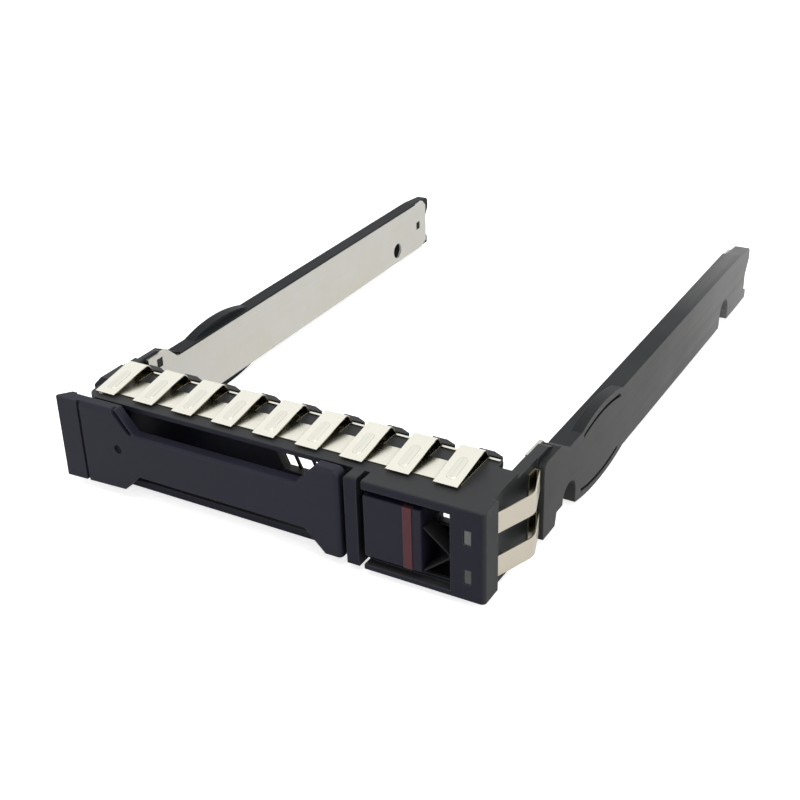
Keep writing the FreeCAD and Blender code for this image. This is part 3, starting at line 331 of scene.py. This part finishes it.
def rearward_sheen(tree, start, end):
    """Painted sheen: lengthwise streaks that grow from start to end along Y."""
    coords = tree.nodes.new("ShaderNodeTexCoord")
    parts = tree.nodes.new("ShaderNodeSeparateXYZ")
    tree.links.new(coords.outputs["Object"], parts.inputs["Vector"])
    spread = tree.nodes.new("ShaderNodeMapRange")
    spread.inputs["From Min"].default_value = start
    spread.inputs["From Max"].default_value = end
    tree.links.new(parts.outputs["Y"], spread.inputs["Value"])
    streaks = ramp(tree, noise(tree, SHEEN_LINES, 1.0), ((0.25, 0.55), (0.75, 1.0)))
    return maths(tree, "MULTIPLY", spread.outputs["Result"], streaks)


def edge_mask(tree, normal):
    """1 where the rounded normal leaves the flat one, which is along edges."""
    geometry = tree.nodes.new("ShaderNodeNewGeometry")
    dot = tree.nodes.new("ShaderNodeVectorMath")
    dot.operation = "DOT_PRODUCT"
    tree.links.new(normal, dot.inputs[0])
    tree.links.new(geometry.outputs["Normal"], dot.inputs[1])
    return ramp(tree, dot.outputs["Value"], ((0.80, 1.0), (0.985, 0.0)))


# ------------------------------------------------------------------ finishes
def moulded_plastic(settings, name, tone, layers=(), roughness=0.46, gloss=0.16,
                    edge_round=None, highlight=None):
    """Spark-textured plastic: fine grain, cloudy tone and a painted highlight that makes every
    edge paler.

    Each layer is a mask, the mask's arguments and the colour that it brings in.
    """
    edge_round = settings.edge_round if edge_round is None else edge_round
    highlight = settings.edge_highlight if highlight is None else highlight
    material, tree, shader = new_material(name)
    clouds = noise(tree, EVEN, CLOUD_SCALE, detail=4.0)
    fine = noise(tree, EVEN, 1.0 / settings.texture_size, detail=2.0, rough=0.7)
    base = mottled(tree, clouds, tone, shade=0.80, lift=0.004)
    for mask, arguments, tint in layers:
        base = mix_colour(tree, mask(tree, *arguments), base, tint)
    normal = rounded_normal(tree, edge_round)
    # Painted highlight: the edges are painted paler than the faces.
    edge_lit = mix_colour(tree, edge_mask(tree, normal), base, lighter(tone, 0.10 * highlight))
    uneven = ramp(tree, clouds, ((0.3, roughness - 0.05), (0.7, roughness + 0.07)))
    grained = bump(tree, fine, strength=0.55, distance=0.012 * MM, normal=normal)
    shader.inputs["Specular IOR Level"].default_value = gloss
    tree.links.new(edge_lit, shader.inputs["Base Color"])
    tree.links.new(uneven, shader.inputs["Roughness"])
    tree.links.new(grained, shader.inputs["Normal"])
    return material


def brushed_steel(name, tone, line_scale, roughness, painted_shade=None, stain=None):
    """Steel sheet with fine brushed lines that run the way line_scale is small."""
    material, tree, shader = new_material(name)
    lines = noise(tree, line_scale, 1.0, rough=0.65)
    blotches = noise(tree, EVEN, BLOTCH_SCALE)
    base = mottled(tree, blotches, tone, shade=0.94, lift=0.02)
    base = mix_colour(tree, lines, darker(tone, 0.90), base)
    if stain is not None:
        spots = noise(tree, EVEN, STAIN_SCALE, detail=5.0, rough=0.7)
        base = mix_colour(tree, ramp(tree, spots, ((0.42, 0.0), (0.72, 0.5))), base, stain)
    # Painted shade: crevices painted olive brown, the deepest ones near black.
    if painted_shade is not None:
        wide = crevice_shade(tree, 5.0 * MM, dark=(0.58, 0.0), light=(0.88, 1.0))
        base = mix_colour(tree, wide, painted_shade, base)
        deep = crevice_shade(tree, 3.0 * MM, dark=(0.10, 0.0), light=(0.50, 1.0))
        base = mix_colour(tree, deep, darker(painted_shade, 0.08), base)
    normal = rounded_normal(tree, 0.08 * MM)
    uneven = ramp(tree, blotches, ((0.25, roughness - 0.05), (0.75, roughness + 0.08)))
    grained = bump(tree, lines, strength=0.5, distance=0.004 * MM, normal=normal)
    shader.inputs["Metallic"].default_value = 1.0
    tree.links.new(base, shader.inputs["Base Color"])
    tree.links.new(uneven, shader.inputs["Roughness"])
    tree.links.new(grained, shader.inputs["Normal"])
    return material


def dark_wire(name, tone):
    """Spring wire in a near-black tone, dull and slightly patchy."""
    material, tree, shader = new_material(name)
    patches = noise(tree, EVEN, PATCH_SCALE)
    skin = mottled(tree, patches, tone, shade=0.7, lift=0.012)
    shader.inputs["Specular IOR Level"].default_value = 0.12
    tree.links.new(skin, shader.inputs["Base Color"])
    tree.links.new(ramp(tree, patches, ((0.3, 0.50), (0.7, 0.68))), shader.inputs["Roughness"])
    tree.links.new(bump(tree, patches, strength=0.3, distance=0.01 * MM), shader.inputs["Normal"])
    return material


def smoked_pipe(name, tone):
    """Smoked grey plastic with a faint cloudiness and a moulded sheen."""
    material, tree, shader = new_material(name)
    clouds = noise(tree, EVEN, PIPE_SCALE, rough=0.5)
    shader.inputs["Roughness"].default_value = 0.34
    shader.inputs["Coat Weight"].default_value = 0.3
    shader.inputs["Coat Roughness"].default_value = 0.15
    tree.links.new(mottled(tree, clouds, tone, shade=0.8, lift=0.03), shader.inputs["Base Color"])
    tree.links.new(bump(tree, clouds, strength=0.2, distance=0.01 * MM), shader.inputs["Normal"])
    return material


def dress(node, material):
    """Gives every face of a carried-over part one finish."""
    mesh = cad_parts[node].data
    mesh.materials.clear()
    mesh.materials.append(material)


# ------------------------------------------------------------------ shape helpers
def select_only(piece):
    bpy.ops.object.select_all(action="DESELECT")
    piece.select_set(True)
    bpy.context.view_layer.objects.active = piece


def pick(piece, test, kind):
    """Selects the faces, or the edges, of the piece in edit mode for which test holds."""
    bpy.ops.mesh.select_mode(type=kind)
    bpy.ops.mesh.select_all(action="DESELECT")
    mesh = bmesh.from_edit_mesh(piece.data)
    for item in (mesh.faces if kind == "FACE" else mesh.edges):
        if test(item):
            item.select_set(True)
    bmesh.update_edit_mesh(piece.data)


def is_upright(edge):
    a, b = edge.verts
    return abs(a.co.z - b.co.z) > 0.9 * edge.calc_length()


def is_upper(face):
    return face.normal.z > 0.9


def raise_inset(thickness, rise):
    """Insets the picked faces by thickness and lifts what is inside by rise."""
    bpy.ops.mesh.inset(thickness=thickness, depth=0.0)
    bpy.ops.transform.translate(value=(0.0, 0.0, rise))


def welded_copy(node, name):
    """A copy of a carried-over part with its seams joined."""
    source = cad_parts[node]
    piece = bpy.data.objects.new(name, source.data.copy())
    piece.data.transform(source.matrix_world)
    bpy.context.scene.collection.objects.link(piece)
    select_only(piece)
    bpy.ops.object.mode_set(mode="EDIT")
    bpy.ops.mesh.select_all(action="SELECT")
    bpy.ops.mesh.remove_doubles(threshold=WELD_DISTANCE)
    bpy.ops.object.mode_set(mode="OBJECT")
    bpy.ops.object.shade_smooth_by_angle(angle=SMOOTH_ANGLE)
    return piece


def racetrack_bead(beads):
    """One bead, centred on the origin: a block with round ends and a stepped crown."""
    bpy.ops.object.select_all(action="DESELECT")
    bpy.ops.mesh.primitive_cube_add(size=1.0, location=(0.0, 0.0, 0.0))
    bead = bpy.context.active_object
    bead.scale = (beads.width, beads.run, 2 * beads.height)
    bpy.ops.object.transform_apply(location=False, rotation=False, scale=True)
    bpy.ops.object.mode_set(mode="EDIT")
    pick(bead, is_upright, "EDGE")
    bpy.ops.mesh.bevel(offset=beads.width * END_ROUND, segments=7, affect="EDGES")
    pick(bead, is_upper, "FACE")
    raise_inset(beads.rim, beads.crown)
    raise_inset(beads.rim * INNER_RIM, beads.crown * INNER_CROWN)
    bpy.ops.object.mode_set(mode="OBJECT")
    return bead


# ------------------------------------------------------------------ operators
class CADDY_OT_bezel_frame(bpy.types.Operator):
    """Finish the bezel frame as fine-textured black plastic"""
    bl_idname = "caddy.bezel_frame"
    bl_label = "Finish bezel frame"

    def execute(self, context):
        settings = context.scene.caddy_plastics
        # Painted shade on the frame's front and right-facing faces.
        layers = ((facing, ("Y", TOWARDS_MINUS), settings.front_shade),
                  (facing, ("X", TOWARDS_PLUS), settings.side_shade))
        dress("bezel_frame", moulded_plastic(settings, "bezel black", settings.frame_colour,
                                             layers, gloss=0.18))
        return {"FINISHED"}


class CADDY_OT_rails(bpy.types.Operator):
    """Finish both side rails as fine-textured black plastic"""
    bl_idname = "caddy.rails"
    bl_label = "Finish rails"

    def execute(self, context):
        settings = context.scene.caddy_plastics
        # Painted sheen: the rail is painted paler towards the rear, in lengthwise streaks.
        layers = ((rearward_sheen, SHEEN_SPAN, settings.sheen_colour),
                  # Painted shade: the rail's upward faces are painted darker.
                  (facing, ("Z", TOWARDS_PLUS), settings.top_shade_colour),
                  (rearward_sheen, REAR_SHEEN_SPAN, settings.rear_sheen_colour))
        dress("right_rail", moulded_plastic(settings, "rail black", settings.rail_colour,
                                            layers, gloss=0.15))
        # Painted shade: the left rail is a darker copy of the rail black.
        dress("left_rail", moulded_plastic(settings, "left rail black", settings.top_shade_colour,
                                           gloss=0.08))
        return {"FINISHED"}


class CADDY_OT_lever(bpy.types.Operator):
    """Finish the eject lever and its pin"""
    bl_idname = "caddy.lever"
    bl_label = "Finish lever"

    def execute(self, context):
        settings = context.scene.caddy_plastics
        metals = context.scene.caddy_metals
        dress("eject_lever", moulded_plastic(settings, "lever black", settings.lever_colour))
        dress("lever_pin", brushed_steel("pin steel", metals.liner_colour, PIN_LINES,
                                         roughness=0.3))
        return {"FINISHED"}


class CADDY_OT_button(bpy.types.Operator):
    """Finish the release button and its dark red stripe"""
    bl_idname = "caddy.button"
    bl_label = "Finish button"

    def execute(self, context):
        settings = context.scene.caddy_plastics
        dress("release_button", moulded_plastic(settings, "button black", settings.button_colour,
                                                roughness=0.40))
        dress("button_accent", moulded_plastic(settings, "stripe red", settings.accent_colour,
                                               roughness=0.42))
        return {"FINISHED"}


class CADDY_OT_liners(bpy.types.Operator):
    """Finish both rail liners as brushed steel sheet"""
    bl_idname = "caddy.liners"
    bl_label = "Finish liners"

    def execute(self, context):
        metals = context.scene.caddy_metals
        lines = (LINER_LINES_ACROSS, 1.0 / metals.brush_length, LINER_LINES_ACROSS)
        steel = brushed_steel("liner steel", metals.liner_colour, lines, roughness=0.36,
                              stain=metals.stain_colour)
        for node in ("right_liner", "left_liner"):
            dress(node, steel)
        return {"FINISHED"}


class CADDY_OT_contacts(bpy.types.Operator):
    """Finish the contact strip and the side clip as bright spring steel"""
    bl_idname = "caddy.contacts"
    bl_label = "Finish contacts"

    def execute(self, context):
        metals = context.scene.caddy_metals
        # Both steels carry painted shade in their crevices.
        dress("top_contact_strip", brushed_steel("contact steel", metals.contact_colour,
                                                 CONTACT_LINES, roughness=0.24,
                                                 painted_shade=metals.painted_shade_colour))
        dress("side_contact_clip", brushed_steel("clip steel", metals.clip_colour, CONTACT_LINES,
                                                 roughness=0.30, painted_shade=metals.painted_shade_colour))
        return {"FINISHED"}


class CADDY_OT_finger_beads(bpy.types.Operator):
    """Press a raised racetrack bead into every contact finger"""
    bl_idname = "caddy.finger_beads"
    bl_label = "Press finger beads"

    def execute(self, context):
        beads = context.scene.caddy_beads
        foot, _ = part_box("top_contact_strip")
        bead = racetrack_bead(beads)
        surface = foot[2] + beads.tip_rise + beads.back * math.tan(beads.slope)
        bead.rotation_euler = (beads.slope, 0.0, 0.0)
        bead.location = (foot[0] + beads.finger_width / 2, foot[1] + beads.back, surface)
        bpy.ops.object.transform_apply(location=True, rotation=True, scale=True)
        bpy.ops.object.shade_smooth_by_angle(angle=SMOOTH_ANGLE)
        # Painted shade: the bead is the contact steel painted slightly darker.
        tone = darker(context.scene.caddy_metals.contact_colour, 0.93)
        bead.data.materials.append(brushed_steel("bead steel", tone, CONTACT_LINES,
                                                 roughness=0.24))
        for index in range(beads.count):
            if index:
                select_only(bead)
                bpy.ops.object.duplicate(linked=False)
                copy = context.active_object
                copy.location.x = index * beads.pitch
                bpy.ops.object.transform_apply(location=True, rotation=False, scale=False)
            else:
                copy = bead
            copy.name = "finger_bead_%d" % (index + 1)
            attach(copy, "chassis")
        return {"FINISHED"}


class CADDY_OT_light_pipes(bpy.types.Operator):
    """Finish both light pipes as smoked plastic"""
    bl_idname = "caddy.light_pipes"
    bl_label = "Finish light pipes"

    def execute(self, context):
        settings = context.scene.caddy_plastics
        # Painted shade: the lower pipe is a darker copy of the smoked pipe.
        shaded_lower_tone = darker(settings.pipe_colour, settings.lower_pipe_shade)
        dress("upper_light_pipe", smoked_pipe("smoked pipe", settings.pipe_colour))
        dress("lower_light_pipe", smoked_pipe("smoked pipe lower", shaded_lower_tone))
        return {"FINISHED"}


class CADDY_OT_springs(bpy.types.Operator):
    """Finish the springs and the vent screen"""
    bl_idname = "caddy.springs"
    bl_label = "Finish springs and screen"

    def execute(self, context):
        settings = context.scene.caddy_plastics
        metals = context.scene.caddy_metals
        wire = dark_wire("spring wire", metals.spring_colour)
        dress("lever_spring", wire)
        dress("button_spring", wire)
        leaf = welded_copy("button_spring", "button_leaf_spring")
        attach(leaf, "chassis")
        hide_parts("button_spring")
        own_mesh(leaf)
        dress("vent_screen", moulded_plastic(settings, "screen black", metals.screen_colour,
                                             edge_round=0.08 * MM, highlight=0.1))
        return {"FINISHED"}


# ------------------------------------------------------------------ studio
def ray_switch(tree, *names):
    """1 for any of the named Light Path rays, else 0."""
    path = tree.nodes.new("ShaderNodeLightPath")
    value = path.outputs[names[0]]
    for name in names[1:]:
        value = maths(tree, "MAXIMUM", value, path.outputs[name])
    return value


def white_world(scene, ambient):
    """World that shows as white and lights the part at a lower level."""
    world = bpy.data.worlds.new("studio")
    scene.world = world
    tree = blank_tree(world)
    out = tree.nodes.new("ShaderNodeOutputWorld")
    background = tree.nodes.new("ShaderNodeBackground")
    background.inputs["Color"].default_value = (1.0, 1.0, 1.0, 1.0)
    mixer = tree.nodes.new("ShaderNodeMix")
    mixer.inputs["A"].default_value = ambient
    mixer.inputs["B"].default_value = 1.0
    seen = ray_switch(tree, "Is Camera Ray", "Is Glossy Ray", "Is Transmission Ray")
    tree.links.new(seen, mixer.inputs["Factor"])
    tree.links.new(mixer.outputs["Result"], background.inputs["Strength"])
    tree.links.new(background.outputs["Background"], out.inputs["Surface"])


def pale_floor_material(tone, lift, mirrored_lift):
    """Matt floor that shows as white to the camera and a little darker in reflections."""
    material = bpy.data.materials.new("pale floor")
    tree = blank_tree(material)
    out = tree.nodes.new("ShaderNodeOutputMaterial")
    diffuse = tree.nodes.new("ShaderNodeBsdfDiffuse")
    diffuse.inputs["Color"].default_value = (*tone, 1.0)
    glow = tree.nodes.new("ShaderNodeEmission")
    add = tree.nodes.new("ShaderNodeAddShader")
    direct = maths(tree, "MULTIPLY", ray_switch(tree, "Is Camera Ray"), lift)
    mirrored = maths(tree, "MULTIPLY", ray_switch(tree, "Is Glossy Ray", "Is Transmission Ray"),
                     mirrored_lift)
    tree.links.new(maths(tree, "ADD", direct, mirrored), glow.inputs["Strength"])
    tree.links.new(diffuse.outputs["BSDF"], add.inputs[0])
    tree.links.new(glow.outputs["Emission"], add.inputs[1])
    tree.links.new(add.outputs["Shader"], out.inputs["Surface"])
    return material


def soft_lamp(name, place, size, watts):
    """Square lamp that aims at the part."""
    data = bpy.data.lights.new(name, "AREA")
    data.shape = "SQUARE"
    data.size = size
    data.energy = watts
    lamp = bpy.data.objects.new(name, data)
    bpy.context.scene.collection.objects.link(lamp)
    lamp.location = place
    lamp.rotation_euler = (Vector(LAMP_AIM) - Vector(place)).to_track_quat("-Z", "Y").to_euler()


class CADDY_OT_stage(bpy.types.Operator):
    """Build the pale floor, the white surround, the soft lamps and the camera"""
    bl_idname = "caddy.stage"
    bl_label = "Build studio"

    def execute(self, context):
        scene = context.scene
        stage = scene.caddy_stage
        bpy.ops.object.select_all(action="DESELECT")
        bpy.ops.mesh.primitive_plane_add(size=stage.floor_size, location=(0.0, 0.0, CAD_BOX[0][2]))
        floor = context.active_object
        floor.name = "studio_floor"
        floor.data.materials.append(pale_floor_material(stage.floor_colour, stage.floor_lift,
                                                        stage.mirrored_lift))
        white_world(scene, stage.ambient)
        for lamp in LAMPS:
            soft_lamp(*lamp)
        data = bpy.data.cameras.new("camera")
        data.lens = stage.lens
        data.sensor_width = 36.0
        data.shift_x = stage.shift
        data.clip_start = 0.01
        data.clip_end = 20.0
        camera = bpy.data.objects.new("camera", data)
        scene.collection.objects.link(camera)
        away = Vector((math.sin(stage.azimuth) * math.cos(stage.elevation),
                       -math.cos(stage.azimuth) * math.cos(stage.elevation),
                       math.sin(stage.elevation)))
        turn = away.to_track_quat("Z", "Y").to_matrix() @ Matrix.Rotation(stage.roll, 3, "Z")
        camera.matrix_world = Matrix.Translation(Vector(stage.camera_at)) @ turn.to_4x4()
        scene.camera = camera
        scene.view_settings.view_transform = "Standard"
        return {"FINISHED"}


class CADDY_PT_panel(bpy.types.Panel):
    """Buttons that finish the caddy piece by piece"""
    bl_idname = "CADDY_PT_panel"
    bl_label = "Drive caddy"
    bl_space_type = "VIEW_3D"
    bl_region_type = "UI"
    bl_category = "Caddy"

    def draw(self, context):
        for operator in OPERATORS:
            self.layout.operator(operator.bl_idname)


OPERATORS = (
    CADDY_OT_bezel_frame,
    CADDY_OT_rails,
    CADDY_OT_lever,
    CADDY_OT_button,
    CADDY_OT_liners,
    CADDY_OT_contacts,
    CADDY_OT_finger_beads,
    CADDY_OT_light_pipes,
    CADDY_OT_springs,
    CADDY_OT_stage,
)
GROUPS = {
    "caddy_plastics": CaddyPlastics,
    "caddy_metals": CaddyMetals,
    "caddy_beads": CaddyBeads,
    "caddy_stage": CaddyStage,
}


def register():
    for group in GROUPS.values():
        bpy.utils.register_class(group)
    for name, group in GROUPS.items():
        setattr(bpy.types.Scene, name, bpy.props.PointerProperty(type=group))
    for cls in OPERATORS + (CADDY_PT_panel,):
        bpy.utils.register_class(cls)


def unregister():
    for cls in (CADDY_PT_panel,) + OPERATORS[::-1]:
        bpy.utils.unregister_class(cls)
    for name, group in GROUPS.items():
        delattr(bpy.types.Scene, name)
        bpy.utils.unregister_class(group)


def main():
    register()
    for operator in OPERATORS:
        group, name = operator.bl_idname.split(".")
        getattr(getattr(bpy.ops, group), name)()


if __name__ == "__main__":
    main()
